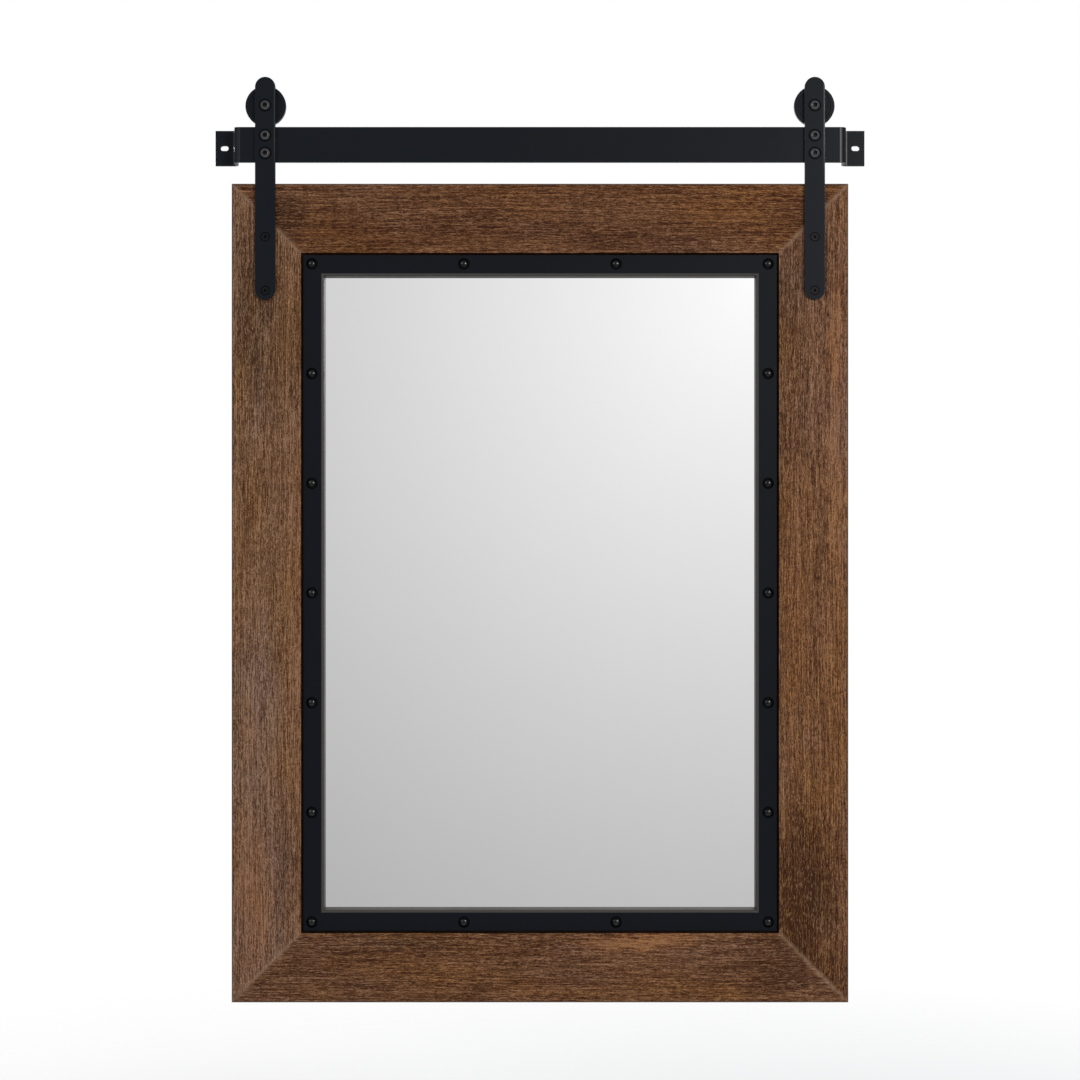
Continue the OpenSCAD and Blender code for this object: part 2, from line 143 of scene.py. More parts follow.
def axes(tree, vector):
    """The X, Y and Z of a vector."""
    return put(tree, "ShaderNodeSeparateXYZ", {0: vector}).outputs


def new_material(name, **shader_values):
    """A material with one Principled shader; returns it, its tree and the shader."""
    made = bpy.data.materials.new(name)
    made.use_nodes = True
    made.node_tree.nodes.clear()
    shader = put(made.node_tree, "ShaderNodeBsdfPrincipled", shader_values)
    put(made.node_tree, "ShaderNodeOutputMaterial", {"Surface": shader.outputs[0]})
    return made, made.node_tree, shader


def new_object(name, mesh_maker, material):
    """Turns a finished bmesh into an object at the origin."""
    mesh = bpy.data.meshes.new(name)
    mesh_maker.to_mesh(mesh)
    mesh_maker.free()
    mesh.materials.append(material)
    made = bpy.data.objects.new(name, mesh)
    scene.collection.objects.link(made)
    return made


floor_finish, tree, shader = new_material(
    "pale_floor", **{"Base Color": (0.80, 0.80, 0.80, 1), "Roughness": 0.9}
)
far = remap(tree, vectors(tree, "LENGTH", surface_place(tree)), *FLOOR_FADE, smooth=True)
clear = put(tree, "ShaderNodeBsdfTransparent").outputs[0]
faded = put(tree, "ShaderNodeMixShader", {0: far, 1: shader.outputs[0], 2: clear})
feed(tree, tree.nodes["Material Output"], {"Surface": faded.outputs[0]})
floor_shape = bmesh.new()
bmesh.ops.create_circle(floor_shape, cap_ends=True, radius=FLOOR_RADIUS, segments=96)
bmesh.ops.translate(floor_shape, verts=floor_shape.verts, vec=(0, -0.2, FLOOR_Z))
new_object("floor", floor_shape, floor_finish)


def soft_box(name, spot, size, power, colour, gleams=True):
    """A square area lamp aimed at the middle of the mirror. Only some show as gleams on metal."""
    lamp = bpy.data.lights.new(name, "AREA")
    lamp.size = size
    lamp.energy = power
    lamp.color = colour
    holder = bpy.data.objects.new(name, lamp)
    aim = Vector((0, 0, eye_height)) - Vector(spot)
    holder.location = spot
    holder.rotation_euler = aim.to_track_quat("-Z", "Y").to_euler()
    holder.visible_camera = False
    holder.visible_glossy = gleams
    scene.collection.objects.link(holder)


soft_box("key_lamp", (1.45, -2.30, 0.35), 0.65, 43, (1.0, 0.965, 0.91))
soft_box("fill_lamp", (-1.75, -1.75, 0.45), 1.1, 17, (0.83, 0.92, 1.0))
soft_box("back_key_lamp", (-1.45, 2.20, 0.45), 0.65, 37, (1.0, 0.97, 0.93))
soft_box("back_fill_lamp", (1.75, 1.75, 0.50), 1.1, 21, (0.88, 0.94, 1.0), gleams=False)

# Round the mirror the studio is white. What the glass and the metal see in front of them is a
# pale card that is brightest high on the right, and falls off towards the lower left.
BRIGHTEST = (0.103, -0.987, 0.122)
world = bpy.data.worlds.new("studio")
scene.world = world
world.use_nodes = True
tree = world.node_tree
tree.nodes.clear()
rays = put(tree, "ShaderNodeLightPath").outputs
heading = put(tree, "ShaderNodeTexCoord").outputs["Generated"]
parts = axes(tree, heading)
from_bright = vectors(tree, "DISTANCE", heading, BRIGHTEST)
bowl = minus(tree, 0.818, maths(tree, "MINIMUM", from_bright, 0.50))
card = maths(tree, "MULTIPLY_ADD", times(tree, bowl, bowl), 1.18, 0.203)
around = maths(tree, "MULTIPLY_ADD", parts["Y"], 0.32, 0.62)
around = maths(tree, "MULTIPLY_ADD", parts["Z"], 0.10, around)
seen = maths(tree, "MAXIMUM", card, around)
plain = maths(tree, "MAXIMUM", rays["Is Camera Ray"], rays["Is Transmission Ray"])
seen = maths(tree, "MAXIMUM", seen, plain)
shown = maths(tree, "MAXIMUM", plain, rays["Is Glossy Ray"])
room = put(tree, "ShaderNodeBackground", {"Color": (0.93, 0.96, 1.0, 1), "Strength": 0.42})
backdrop = put(tree, "ShaderNodeBackground", {"Color": (1, 1, 1, 1), "Strength": seen})
both = put(tree, "ShaderNodeMixShader", {0: shown, 1: room.outputs[0], 2: backdrop.outputs[0]})
put(tree, "ShaderNodeOutputWorld", {"Surface": both.outputs[0]})

# The wooden frame: two stiles and two rails of open-grained hardwood, planed, rebated front and
# back, mitred and glued, then stained walnut brown. The stain is thin beside the mitres.
FRAME_HALF_W = 0.305
FRAME_HALF_H = 0.405
FRAME_MID_Z = -0.4435
MITRE_BAND = (0.0058, 0.0006)
JOINT_BAND = (0.0007, 0.0002)
RIM_BAND = (0.0016, 0.0008)
FACE_DEPTHS = (-0.0100, -0.0160)
LEDGE_FROM_EDGE = (0.0682, 0.0684)
LEDGE_FRONT = (-0.0226, -0.0222)
LEDGE_BACK = (-0.0100, -0.0110)


def new_group(name, inputs, outputs):
    """A shader node group; returns its tree, its inputs and its output node."""
    tree = bpy.data.node_groups.new(name, "ShaderNodeTree")
    for in_out, rows in (("INPUT", inputs), ("OUTPUT", outputs)):
        for title, kind in rows.items():
            tree.interface.new_socket(title, in_out=in_out, socket_type="NodeSocket" + kind)
    return tree, put(tree, "NodeGroupInput").outputs, put(tree, "NodeGroupOutput")


def use_group(tree, group, feeds):
    """Places a node group in a material; returns its outputs."""
    return put(tree, "ShaderNodeGroup", feeds, node_tree=group).outputs


def painted(tree, colour, mask, strength, paint):
    """Lays a paint over a colour where a mask is set, at the given strength."""
    return blend(tree, times(tree, mask, strength), colour, paint)


def bump(tree, height, strength, distance):
    """One Bump node; returns its normal."""
    feeds = {"Strength": strength, "Distance": distance, "Height": height}
    return put(tree, "ShaderNodeBump", feeds).outputs[0]


def dress(node, material):
    """Gives a CAD piece that keeps its own form its material."""
    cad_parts[node].material_slots[0].material = material


def noise(tree, vector, stretch, detail=2.0, roughness=0.5):
    """Noise of the given number of grains per metre along each axis, spread over 0 to 1."""
    at = vectors(tree, "MULTIPLY", vector, stretch)
    feeds = {"Vector": at, "Scale": 1.0, "Detail": detail, "Roughness": roughness}
    raw = put(tree, "ShaderNodeTexNoise", feeds).outputs["Fac"]
    return remap(tree, raw, 0.25, 0.75)


def stirred(tree, vector, stretch, reach):
    """Moves a vector sideways by a slow noise, up to the given reach in metres."""
    at = vectors(tree, "MULTIPLY", vector, stretch)
    raw = put(tree, "ShaderNodeTexNoise", {"Vector": at, "Scale": 1.0, "Detail": 2.0})
    push = vectors(tree, "SUBTRACT", raw.outputs["Color"], (0.5, 0.5, 0.5))
    push = vectors(tree, "MULTIPLY", push, reach)
    return vectors(tree, "ADD", vector, push)


def make_grain_group():
    """Stained hardwood. Z of the vector runs along the grain."""
    tree, given, result = new_group(
        "stained_grain",
        {"Vector": "Vector"}
        | dict.fromkeys(("Tone", "Warmth", "Figure", "Lines", "Rings"), "Float"),
        {"Color": "Color", "Roughness": "Float", "Height": "Float"},
    )
    curl = vectors(tree, "SCALE", (0.0035, 0.0035, 0.0))
    feed(tree, curl.node, {"Scale": given["Figure"]})
    line = stirred(tree, given["Vector"], (7, 7, 1.7), (0.016, 0.016, 0.0))
    line = stirred(tree, line, (80, 80, 30), curl)
    rings = noise(tree, line, (62, 62, 1.6), 1.6)
    lines = noise(tree, line, (1000, 1000, 14), 1.0)
    hairs = noise(tree, line, (1200, 1200, 110), 1.0)
    fibres = noise(tree, line, (1100, 1100, 520), 1.0)
    pores = remap(tree, noise(tree, line, (1050, 1050, 150), 1.0), 0.62, 0.85)
    flakes = remap(tree, noise(tree, line, (1050, 1050, 170), 1.0), 0.64, 0.86)
    broad = noise(tree, given["Vector"], (6, 6, 2.4))

    tone = maths(tree, "ADD", given["Tone"], 0.5)
    weights = (
        (rings, given["Rings"]), (lines, given["Lines"]), (hairs, 0.62), (fibres, 0.64),
        (broad, 0.20),
    )
    for part, weight in weights:
        centred = minus(tree, part, 0.5)
        tone = maths(tree, "MULTIPLY_ADD", centred, weight, tone)
    deep = blend(
        tree, remap(tree, tone, 0.05, 0.52), (0.035, 0.010, 0.002, 1), (0.122, 0.056, 0.025, 1)
    )
    stain = blend(tree, remap(tree, tone, 0.50, 1.00), deep, (0.285, 0.162, 0.096, 1))
    stain = painted(tree, stain, flakes, 0.40, (0.320, 0.195, 0.120, 1))
    stain = painted(tree, stain, pores, 0.42, (0.026, 0.008, 0.001, 1))
    warm = remap(tree, given["Warmth"], 0.0, 1.4, 0.0, 1.4)
    cool = remap(tree, given["Warmth"], 0.0, -1.0)
    stain = blend(tree, warm, stain, (1.0, 0.80, 0.56, 1), "MULTIPLY")
    stain = blend(tree, cool, stain, (0.90, 0.98, 1.12, 1), "MULTIPLY")
    drift = noise(tree, line, (26, 26, 6))
    tint = blend(tree, drift, (0.93, 0.99, 1.25, 1), (1.06, 0.98, 0.70, 1))
    stain = blend(tree, 1.0, stain, tint, "MULTIPLY")
    rough = remap(tree, fibres, 0.0, 1.0, 0.72, 0.54)
    relief = maths(tree, "MULTIPLY_ADD", fibres, 0.6, times(tree, lines, 0.25))
    relief = maths(tree, "MULTIPLY_ADD", pores, -0.8, relief)
    feed(tree, result, {"Color": stain, "Roughness": rough, "Height": relief})
    return tree


def make_wear_group():
    """Masks: thin stain beside the face's mitres, the joint, the outer edges, painted shade on the
    ledge walls, with the back's dark joint.
    """
    tree, given, result = new_group(
        "frame_edges",
        {"Vector": "Vector"},
        dict.fromkeys(("Mitre", "Joint", "Rim", "Gap"), "Float"),
    )
    parts = axes(tree, given["Vector"])
    side = minus(tree, FRAME_HALF_W, maths(tree, "ABSOLUTE", parts["X"]))
    end = minus(tree, FRAME_HALF_H, apart(tree, parts["Z"], FRAME_MID_Z))
    ragged = noise(tree, given["Vector"], (140, 140, 140), 3.0)
    across = apart(tree, side, end)
    face = remap(tree, parts["Y"], *FACE_DEPTHS)
    mitre = times(tree, ragged, remap(tree, across, *MITRE_BAND, smooth=True))
    joint = remap(tree, across, *JOINT_BAND)
    edge = maths(tree, "MINIMUM", side, end)
    middle = maths(tree, "ABSOLUTE", maths(tree, "ADD", parts["Y"], 0.013))
    arris = remap(tree, middle, 0.0060, 0.0095, 0.45, 1.0)
    rim = times(tree, remap(tree, edge, *RIM_BAND), arris)
    # Painted shade: the ledge walls between the wood and the liner are darkened, and lose their
    # gloss.
    behind = remap(tree, parts["Y"], *LEDGE_FRONT)
    before = remap(tree, parts["Y"], *LEDGE_BACK)
    inner = remap(tree, edge, *LEDGE_FROM_EDGE)
    inner = times(tree, inner, times(tree, behind, before))
    back_joint = times(tree, joint, minus(tree, 0.5, face))
    masks = {
        "Mitre": times(tree, mitre, face),
        "Joint": times(tree, joint, face),
        "Rim": rim,
        "Gap": maths(tree, "MAXIMUM", inner, back_joint),
    }
    feed(tree, result, masks)
    return tree


def make_patch_group():
    """A soft, ragged patch about a centre, for the clouds and dark places in the boards."""
    tree, given, result = new_group(
        "cloud", {"Vector": "Vector", "Centre": "Vector", "Size": "Vector"}, {"Mask": "Float"}
    )
    ragged = stirred(tree, given["Vector"], (45, 45, 45), (0.022, 0.0, 0.022))
    away = vectors(tree, "SUBTRACT", ragged, given["Centre"])
    away = vectors(tree, "DIVIDE", away, given["Size"])
    away = vectors(tree, "LENGTH", away)
    feed(tree, result, {"Mask": remap(tree, away, 1.0, 0.15, smooth=True)})
    return tree


stained_grain = make_grain_group()
frame_edges = make_wear_group()
cloud = make_patch_group()


def stained_member(node, upright, shift, tone, warmth, lines, clouds, back_clouds):
    """Stains one member, with painted shade in some clouds and on the ledge walls. A cloud has X,
    Z, half sizes, tone, and at will warmth and figure.
    """
    material, tree, shader = new_material("walnut_stain_" + node, IOR=1.45)
    where = surface_place(tree)
    depth = axes(tree, where)["Y"]
    turn = (0.0, 0.0 if upright else radians(90), 0.0)
    along = put(tree, "ShaderNodeMapping", {"Vector": where, "Location": shift, "Rotation": turn})
    sums = [tone, warmth, 0.0]
    rows = [(-0.026, row) for row in clouds] + [(0.0, row) for row in back_clouds]
    for y, (x, z, wide, high, *amounts) in rows:
        feeds = {"Vector": where, "Centre": (x, y, z), "Size": (wide, 0.022, high)}
        mask = use_group(tree, cloud, feeds)["Mask"]
        for i, amount in enumerate(amounts):
            if amount:
                sums[i] = maths(tree, "MULTIPLY_ADD", mask, amount, sums[i])
    feeds = {
        "Vector": along.outputs[0],
        "Tone": sums[0],
        "Warmth": sums[1],
        "Figure": sums[2],
        "Lines": lines,
        "Rings": remap(tree, depth, -0.016, -0.010, 0.15, 0.58),
    }
    grain = use_group(tree, stained_grain, feeds)
    edges = use_group(tree, frame_edges, {"Vector": where})
    colour = grain["Color"]
    for mask, strength, paint in (
        ("Mitre", 0.55, (0.29, 0.175, 0.11, 1)),
        ("Rim", 0.75, (0.058, 0.048, 0.042, 1)),
        ("Joint", 0.6, (0.21, 0.135, 0.09, 1)),
        ("Gap", 0.9, (0.007, 0.004, 0.003, 1)),
    ):
        colour = painted(tree, colour, edges[mask], strength, paint)
    feeds = {
        "Base Color": colour,
        "Specular IOR Level": remap(tree, edges["Gap"], 0, 1, 0.13, 0.02),
        "Roughness": grain["Roughness"],
        "Normal": bump(tree, grain["Height"], 0.55, 0.0005),
    }
    feed(tree, shader, feeds)
    dress(node, material)


# Each board's shift, tone, warmth and lines, then the clouds of its face, and of its back. The dark
# clouds on X ±0.2715 are painted shade beside the straps; the dark clouds low on the stiles' inner
# edges are painted shade by the liner.
stained_member(
    "stile_left", True, (0.9, 0.2, 0.4), 0.08, 0.03, 0.64,
    (
        (-0.27, -0.20, 0.05, 0.11, -0.10, -0.7),
        # Painted shade beside the strap.
        (-0.2715, -0.10, 0.021, 0.08, -0.20, -0.2),
        (-0.285, -0.75, 0.030, 0.12, 0.10, 0.7),
        (-0.285, -0.15, 0.030, 0.09, -0.12, -0.7),
        # Painted shade along the inner edge, by the liner.
        (-0.248, -0.72, 0.018, 0.12, -0.12, 0.1),
        (-0.24, -0.45, 0.02, 0.25, 0.05, 0.3),
    ),
    (
        (-0.27, -0.18, 0.06, 0.14, -0.06, -0.5),
        (-0.26, -0.44, 0.04, 0.12, 0.12, 0.3),
        (-0.27, -0.70, 0.06, 0.15, -0.08, 0.9, 1.0),
        (-0.294, -0.056, 0.011, 0.010, 0.50),
    ),
)
stained_member(
    "stile_right", True, (2.3, 0.7, 1.9), -0.02, 0.44, 0.66,
    (
        # Painted shade beside the strap.
        (0.2715, -0.10, 0.021, 0.08, -0.20),
        (0.292, -0.34, 0.012, 0.24, 0.22, 0.3),
        (0.250, -0.22, 0.022, 0.16, -0.12, -0.2, 1.0),
        (0.292, -0.19, 0.014, 0.10, 0.18, 0.5),
        (0.248, -0.14, 0.020, 0.06, -0.10, -0.4),
        (0.250, -0.45, 0.016, 0.12, 0.08, 0.2),
        # Painted shade along the inner edge, by the liner.
        (0.256, -0.745, 0.055, 0.125, -0.48, -0.6),
        (0.285, -0.83, 0.05, 0.05, -0.22),
    ),
    (
        (0.275, -0.45, 0.07, 0.60, -0.06, -0.4),
        (0.284, -0.080, 0.030, 0.050, -0.55, -1.3, 1.0),
        (0.250, -0.23, 0.026, 0.14, 0.14, 0.1, 1.8),
        (0.290, -0.62, 0.012, 0.20, 0.14, 0.2),
    ),
)
stained_member(
    "rail_top", False, (4.1, 1.3, 0.6), -0.15, 0.76, 0.70,
    (
        # The next two clouds: painted shade beside the straps.
        (-0.2715, -0.07, 0.021, 0.05, -0.20),
        (0.2715, -0.07, 0.021, 0.05, -0.20),
        (0.15, -0.068, 0.11, 0.018, 0.06),
        (0.10, -0.096, 0.12, 0.016, -0.14),
        (-0.250, -0.070, 0.032, 0.032, -0.26, -0.9),
        (0.25, -0.065, 0.05, 0.04, -0.12),
    ),
    (
        (0.10, -0.083, 0.13, 0.018, 0.16, 0.2),
        (0.255, -0.065, 0.045, 0.026, -0.36, -1.4, 0.8),
        (-0.15, -0.075, 0.11, 0.040, -0.16, -0.2),
        (0.03, -0.101, 0.22, 0.006, -0.22),
    ),
)
stained_member(
    "rail_bottom", False, (5.7, 2.1, 2.8), -0.10, 0.46, 0.66,
    (
        (0.10, -0.80, 0.16, 0.03, 0.08, 0.1),
        (0.098, -0.788, 0.085, 0.013, 0.40, 1.2),
        (-0.13, -0.789, 0.080, 0.011, -0.16, -0.7),
        (-0.16, -0.80, 0.12, 0.03, -0.06),
        (0.23, -0.82, 0.06, 0.04, -0.22),
    ),
    (
        (0.16, -0.808, 0.09, 0.022, 0.20, 0.3),
        (-0.07, -0.815, 0.19, 0.045, -0.20, 0.2),
        (-0.20, -0.800, 0.07, 0.012, 0.14, 0.2),
    ),
)

# Beech biscuits, pressed flat and glued across the mitres. They are inside the wood, and pale
# because no stain has reached them.
beech, tree, shader = new_material("pressed_beech")
streak = noise(tree, surface_place(tree), (380, 380, 380), 3.0)
colour = blend(tree, streak, (0.50, 0.34, 0.20, 1), (0.62, 0.45, 0.29, 1))
feed(tree, shader, {"Base Color": colour, "Roughness": remap(tree, streak, 0, 1, 0.78, 0.62)})
dress("mitre_biscuits", beech)

# The liner: four strips of two-millimetre steel, each folded once, mitred and powder coated
# black. They lie on the front ledge of the wood, and their returns run back to the glass.


def make_powder_group():
    """Fine black powder coating, a little thinner and greyer where an edge is worn."""
    tree, given, result = new_group(
        "powder_coat",
        {"Vector": "Vector", "Coat": "Color", "Wear": "Float"},
        {"Color": "Color", "Roughness": "Float", "Height": "Float"},
    )
    pebble = noise(tree, given["Vector"], (1500, 1500, 1500), 1.0)
    haze = noise(tree, given["Vector"], (22, 22, 22), 3.0)
    specks = remap(tree, noise(tree, given["Vector"], (700, 700, 700), 1.0), 0.90, 0.99)
    lighter = painted(tree, given["Coat"], specks, 0.5, (0.014, 0.014, 0.015, 1))
    scuffs = noise(tree, given["Vector"], (260, 260, 260), 3.0, 0.6)
    worn = times(tree, given["Wear"], remap(tree, scuffs, 0.35, 0.75))
    shown = blend(tree, worn, lighter, (0.135, 0.131, 0.128, 1))
    rough = remap(tree, haze, 0, 1, 0.33, 0.39)
    feed(tree, result, {"Color": shown, "Roughness": rough, "Height": pebble})
    return tree


powder_coat = make_powder_group()


def edge_wear(tree):
    """The mask that a piece's mesh carries on its rounded, worn or bare faces."""
    return put(tree, "ShaderNodeAttribute", attribute_name="edge_wear").outputs["Fac"]


def powder_coated(name, coat, wear, specular):
    """Powder-coated steel; returns it, its tree, its shader and the coating's colour."""
    material, tree, shader = new_material(name)
    where = surface_place(tree)
    edge = edge_wear(tree)
    feeds = {"Vector": where, "Coat": coat, "Wear": times(tree, edge, wear)}
    coating = use_group(tree, powder_coat, feeds)
    feeds = {
        "Base Color": coating["Color"],
        "Roughness": maths(tree, "MULTIPLY_ADD", edge, -0.15, coating["Roughness"]),
        "Specular IOR Level": maths(tree, "MULTIPLY_ADD", edge, 0.4, specular),
        "Normal": bump(tree, coating["Height"], 0.25, 0.00008),
    }
    feed(tree, shader, feeds)
    return material, tree, shader, coating["Color"]


def shade(made):
    """Smooth shading weighted by area, so that flats stay flat; edges over 12 degrees are crisp."""
    mesh, angle = made.data, radians(12)
    crisp = cos(angle)
    meeting = [[] for _ in mesh.vertices]
    for face in mesh.polygons:
        face.use_smooth = True
        for corner in face.vertices:
            meeting[corner].append((face.normal.copy(), face.area))
    mesh.set_sharp_from_angle(angle=angle)
    normals = []
    for face in mesh.polygons:
        own = face.normal.copy()
        for corner in face.vertices:
            total = Vector()
            for normal, area in meeting[corner]:
                if own.dot(normal) > crisp:
                    total += normal * area
            normals.append(total.normalized())
    mesh.normals_split_custom_set(normals)


def stand_in(made, node, body="frame"):
    """Puts a finished piece in place of a CAD node, which it hides, and on its body."""
    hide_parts(node)
    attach(made, body)


def soften(shape, wear, angle, radius, segments):
    """Rounds all edges sharper than the angle, and marks the new faces as worn."""
    sharp = [e for e in shape.edges if e.calc_face_angle(0.0) > radians(angle)]
    cut = bmesh.ops.bevel(
        shape, geom=sharp, offset=radius, affect="EDGES", segments=segments, profile=0.5,
        material=-1, clamp_overlap=True,
    )
    for face in cut["faces"]:
        face[wear] = 1.0


def rounded_copy(name, node, material, radius):
    """A piece with the node's own form, and its sharp edges rounded to the given radius."""
    shape = bmesh.new()
    shape.from_mesh(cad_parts[node].data)
    bmesh.ops.remove_doubles(shape, verts=shape.verts, dist=2e-6)
    bmesh.ops.dissolve_limit(
        shape, angle_limit=radians(0.5), verts=shape.verts, edges=shape.edges
    )
    soften(shape, shape.faces.layers.float.new("edge_wear"), 40, radius, 4)
    made = new_object(name, shape, material)
    shade(made)
    stand_in(made, node)


# The fold and the return carry a painted highlight: a lighter line round the glass. A ring of
# painted shade, dark and matt, lies round each nail: the rings of one quarter serve for all four.
NAIL_HALF = (0.2260, 0.3260)
NAIL_RADIUS = 0.0047


def painted_shade_rings(tree, shader, colour, at, heads):
    """Links the coat's colour, with rings of painted shade, dark and matt, round heads of the given
    X, Z and radius.
    """
    near = 1.0
    for x, z, radius in heads:
        away = vectors(tree, "LENGTH", vectors(tree, "SUBTRACT", at, (x, 0.0, z)))
        near = maths(tree, "MINIMUM", minus(tree, away, radius), near)
    shaded = remap(tree, near, 0.0017, 0.0003, 0.0, 0.85, smooth=True)
    colour = blend(tree, shaded, colour, (0.0006, 0.0006, 0.0008, 1))
    gleam = shader.inputs["Specular IOR Level"].links[0].from_socket
    gleam = times(tree, gleam, minus(tree, 1.0, shaded))
    feed(tree, shader, {"Base Color": colour, "Specular IOR Level": gleam})


liner_coat, tree, shader, coated = powder_coated(
    "liner_powder_coat", (0.0049, 0.0060, 0.0090, 1), 0.45, 0.080
)
opening_low, opening_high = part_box("liner_right")[0].x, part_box("liner_top")[0].z
parts = axes(tree, surface_place(tree))
out_x = maths(tree, "ABSOLUTE", parts["X"])
out_z = apart(tree, parts["Z"], FRAME_MID_Z)
in_x = minus(tree, out_x, opening_low)
in_z = minus(tree, out_z, opening_high - FRAME_MID_Z)
# Painted highlight: the fold and the return are lightened.
fold = remap(tree, maths(tree, "MAXIMUM", in_x, in_z), 0.0028, 0.0022)
painted_highlight = painted(tree, coated, fold, 0.85, (0.062, 0.057, 0.052, 1))
quarter = put(tree, "ShaderNodeCombineXYZ", {"X": out_x, "Z": out_z}).outputs[0]
heads = [(NAIL_HALF[0], NAIL_HALF[1] * i / 3, NAIL_RADIUS) for i in range(4)]
heads.append((NAIL_HALF[0] / 3, NAIL_HALF[1], NAIL_RADIUS))
# Rings of painted shade round the nail heads.
painted_shade_rings(tree, shader, painted_highlight, quarter, heads)
for side in ("left", "right", "top", "bottom"):
    rounded_copy("liner_strip_" + side, "liner_" + side, liner_coat, 0.0003)

# Eighteen domed nails, turned and blackened, driven through the liner into the wood, which has
# burnished their crowns. A corner nail holds two strips.
NAIL_FACE_Y = -0.020
BURNISHED_ABOVE = 0.0016


def lathe(profile, steps, ring=False):
    """Turns a profile of radius and height about Z, normals outwards; a ring's is closed."""
    shape = bmesh.new()
    points = [shape.verts.new((radius, 0.0, height)) for radius, height in profile]
    pairs = zip(points[-1:] + points, points) if ring else zip(points, points[1:])
    edges = [shape.edges.new(pair) for pair in pairs]
    bmesh.ops.spin(
        shape, geom=points + edges, cent=(0, 0, 0), axis=(0, 0, 1), dvec=(0, 0, 0),
        angle=tau, steps=steps, use_merge=True, use_duplicate=False,
    )
    bmesh.ops.remove_doubles(shape, verts=shape.verts, dist=1e-7)
    bmesh.ops.recalc_face_normals(shape, faces=shape.faces)
    return shape


def set_out(name, node, material, pattern, places, body="frame"):
    """Repeats one finished shape at every place, as one object in place of a CAD node."""
    stamp = bpy.data.meshes.new(name)
    pattern.to_mesh(stamp)
    pattern.free()
    together = bmesh.new()
    for place in places:
        before = len(together.verts)
        together.from_mesh(stamp)
        together.verts.ensure_lookup_table()
        bmesh.ops.transform(together, matrix=place, verts=together.verts[before:])
    bpy.data.meshes.remove(stamp)
    made = new_object(name, together, material)
    shade(made)
    stand_in(made, node, body)


def facing_front(x, y, z, turn=0.0, tip=90):
    """Lays a fastener, drawn head up, with its head towards the viewer and turned about Y."""
    spin = Matrix.Rotation(radians(turn), 4, "Y")
    return Matrix.Translation((x, y, z)) @ spin @ Matrix.Rotation(radians(tip), 4, "X")


def dome(radius, height, rings):
    """Radius and height of a spherical cap, from its rim to its crown."""
    ball = (radius**2 + height**2) / (2 * height)
    low = asin(radius / ball)
    return [
        (ball * sin(low * i / rings), height - ball + ball * cos(low * i / rings))
        for i in range(rings, -1, -1)
    ]


blackened, tree, shader = new_material("blackened_nail")
mottle = noise(tree, surface_place(tree), (500, 500, 500), 3.0, 0.6)
feeds = {
    "Base Color": blend(tree, mottle, (0.0008, 0.0008, 0.0010, 1), (0.0022, 0.0022, 0.0024, 1)),
    "Roughness": remap(tree, mottle, 0, 1, 0.20, 0.28),
    "Specular IOR Level": remap(tree, edge_wear(tree), 0, 1, 0.06, 0.36),
    "Normal": bump(tree, mottle, 0.3, 0.0001),
}
feed(tree, shader, feeds)

nail_profile = [(0.0, -0.0070), (0.0011, -0.0052), (0.0011, 0.0), (0.0045, 0.0)]
nail_profile += [(0.00472, 0.00012)] + [p for p in dome(0.00472, 0.0024, 9) if p[1] > 0.0002]
nail_columns = [NAIL_HALF[0] * (2 * i / 3 - 1) for i in range(4)]
nail_rows = [NAIL_HALF[1] * (i / 3 - 1) for i in range(1, 6)]
nail_spots = [(x, z) for x in nail_columns for z in (-NAIL_HALF[1], NAIL_HALF[1])]
nail_spots += [(x, z) for x in (-NAIL_HALF[0], NAIL_HALF[0]) for z in nail_rows]
nail = lathe(nail_profile, 40)
crown = nail.faces.layers.float.new("edge_wear")
for face in nail.faces:
    if face.calc_center_median().z > BURNISHED_ABOVE:
        face[crown] = 1.0
places = [facing_front(x, NAIL_FACE_Y, FRAME_MID_Z + z) for x, z in nail_spots]
set_out("domed_nails", "liner_nails", blackened, nail, places)

# The mirror: float glass silvered on its back, dropped into the rear rebate from behind. Its
# ground edges are hidden in the rebate.
silvered, tree, shader = new_material("silvered_glass", Metallic=1.0)
film = noise(tree, surface_place(tree), (9, 9, 9))
colour = blend(tree, film, (0.985, 0.988, 0.986, 1), (0.995, 0.996, 0.995, 1))
feed(tree, shader, {"Base Color": colour, "Roughness": remap(tree, film, 0, 1, 0.008, 0.020)})
dress("mirror_glass", silvered)

# The backing board: three-millimetre tan hardboard laid over the glass. Its surface is a
# pressed fibre mat with dark specks, and its sawn edges are paler.
hardboard, tree, shader = new_material("tan_hardboard", **{"Specular IOR Level": 0.25})
where = surface_place(tree)
mat = noise(tree, where, (260, 260, 700), 3.0, 0.7)
drift = noise(tree, where, (11, 11, 11), 4.0, 0.6)
colour = blend(tree, mat, (0.345, 0.196, 0.098, 1), (0.520, 0.315, 0.168, 1))
shadows = blend(tree, drift, (0.89, 0.88, 0.84, 1), (1.08, 1.08, 1.08, 1))
colour = blend(tree, 1.0, colour, shadows, "MULTIPLY")
specks = remap(tree, noise(tree, where, (330, 330, 330), 1.0), 0.84, 0.97)
colour = painted(tree, colour, specks, 0.26, (0.20, 0.11, 0.05, 1))
parts = axes(tree, where)
board_low, board_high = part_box("backing_board")
rim_x = minus(tree, board_high.x, maths(tree, "ABSOLUTE", parts["X"]))
rim_z = apart(tree, parts["Z"], (board_low.z + board_high.z) / 2)
rim_z = minus(tree, (board_high.z - board_low.z) / 2, rim_z)
rim = remap(tree, maths(tree, "MINIMUM", rim_x, rim_z), 0.0014, 0.0004)
feeds = {
    "Base Color": painted(tree, colour, rim, 0.7, (0.74, 0.58, 0.42, 1)),
    "Roughness": remap(tree, mat, 0, 1, 0.86, 0.72),
    "Normal": bump(tree, mat, 0.3, 0.0002),
}
feed(tree, shader, feeds)
dress("backing_board", hardboard)

